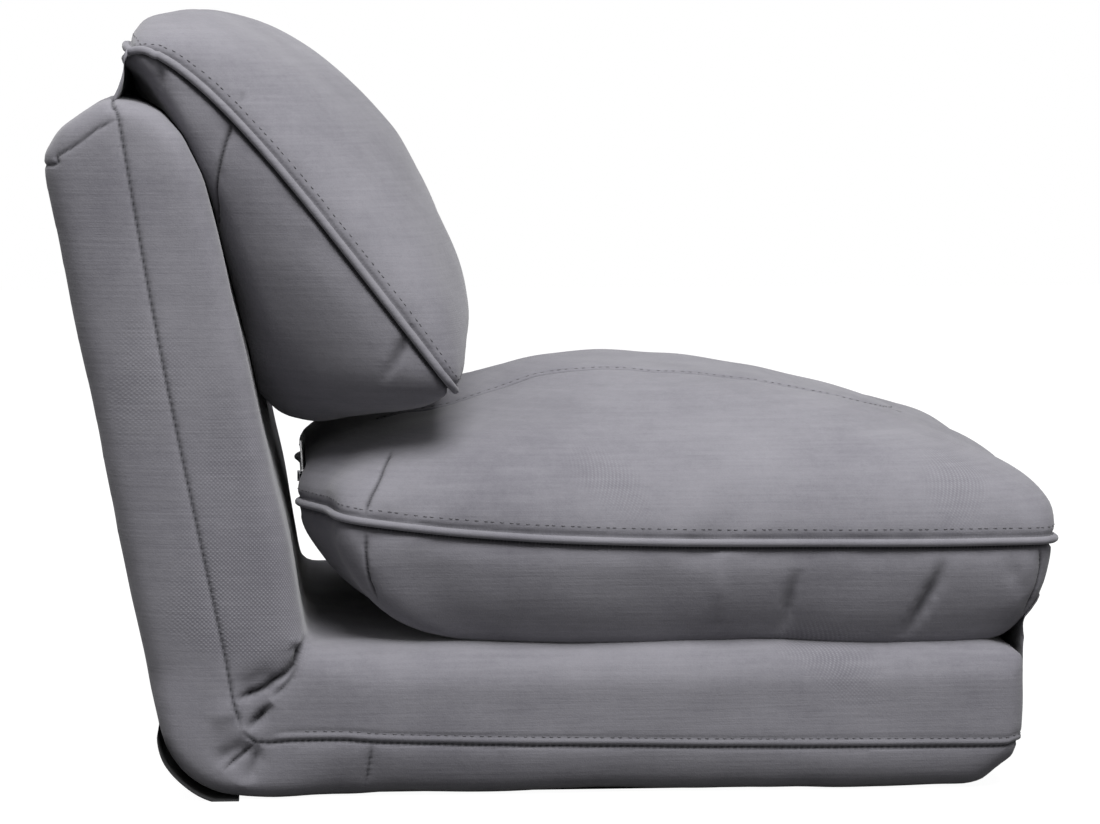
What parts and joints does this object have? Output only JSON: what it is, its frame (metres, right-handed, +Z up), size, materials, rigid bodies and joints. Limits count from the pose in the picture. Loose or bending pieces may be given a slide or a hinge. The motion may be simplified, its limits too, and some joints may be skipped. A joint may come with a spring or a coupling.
{
  "type": "folding floor chair",
  "caption": "Padded folding floor chair with a reclining backrest on ratchet hinges, a fold-out seat cushion and a head pillow hung from a flap.",
  "frame": {"origin": "centre of the footprint of the raised chair, on the floor", "axes": "+X to the front, +Y to the sitter's left, +Z up"},
  "size_m": [0.7957, 0.5664, 0.6054],
  "materials": {
    "suede": "matt grey faux suede",
    "suede_trim": "matt grey faux suede piping and welt",
    "bottom_cloth": "black non-woven cloth",
    "foam": "pale yellow foam",
    "fibre": "white polyester fibre",
    "tube": "black powder coat",
    "plate": "zinc plated steel",
    "zip": "dark woven zip tape",
    "zip_metal": "nickel plated"
  },
  "bodies": {
    "base": {"base_cover": "suede", "base_underside": "bottom_cloth", "base_welt": "suede_trim", "base_foam_upper": "foam", "base_foam_lower": "foam", "base_frame": "tube", "hinge_lower_left": "plate", "hinge_lower_right": "plate", "hinge_rivet_left": "plate", "hinge_rivet_right": "plate", "fold_gusset": "suede", "fold_cloth": "bottom_cloth", "seat_hinge_strip": "suede"},
    "backrest": {"back_cover": "suede", "back_foam_front": "foam", "back_foam_rear": "foam", "back_frame": "tube", "hinge_upper_left": "plate", "hinge_upper_right": "plate", "pawl_spring_left": "plate", "pawl_spring_right": "plate"},
    "left_pawl": {"pawl_left": "plate"},
    "right_pawl": {"pawl_right": "plate"},
    "seat": {"seat_cover": "suede", "seat_foam": "foam", "seat_fill": "fibre", "seat_piping": "suede_trim", "seat_zip_tape": "zip"},
    "zip_slider": {"seat_zip_slider": "zip_metal"},
    "zip_pull": {"seat_zip_pull": "zip_metal"},
    "pillow": {"pillow_cover": "suede", "pillow_fill": "fibre", "pillow_piping": "suede_trim", "pillow_flap": "suede"}
  },
  "joints": [
    {"name": "back_recline", "type": "hinge", "parent": "base", "child": "backrest", "pos_m": [-0.2471, 0, 0.068], "axis": [0, -1, 0], "range_deg": [0, 79], "deforming": ["fold_gusset", "fold_cloth"]},
    {"name": "seat_unfold", "type": "hinge", "parent": "base", "child": "seat", "pos_m": [0.38395, 0, 0.1183], "axis": [0, 1, 0], "range_deg": [0, 180], "deforming": ["seat_hinge_strip", "pillow_cover", "pillow_fill", "pillow_piping"]},
    {"name": "pillow_flip", "type": "hinge", "parent": "backrest", "child": "pillow", "pos_m": [-0.34834, 0, 0.54627], "axis": [0, -1, 0], "range_deg": [0, 125]},
    {"name": "left_pawl_lift", "type": "hinge", "parent": "backrest", "child": "left_pawl", "pos_m": [-0.27234, 0.214, 0.10404], "axis": [0, -1, 0], "range_deg": [0, 15], "stiffness_Nm_per_rad": 0.05, "springref_deg": -28.65, "deforming": ["pawl_spring_left"]},
    {"name": "right_pawl_lift", "type": "hinge", "parent": "backrest", "child": "right_pawl", "pos_m": [-0.27234, -0.214, 0.10404], "axis": [0, -1, 0], "range_deg": [0, 15], "stiffness_Nm_per_rad": 0.05, "springref_deg": -28.65, "deforming": ["pawl_spring_right"]},
    {"name": "zip_slide", "type": "slide", "parent": "seat", "child": "zip_slider", "axis": [0, 1, 0], "range_m": [0, 0.236]},
    {"name": "pull_swing", "type": "hinge", "parent": "zip_slider", "child": "zip_pull", "pos_m": [-0.20151, -0.118, 0.2366], "axis": [0, 0, -1], "range_deg": [0, 170]}
  ]
}
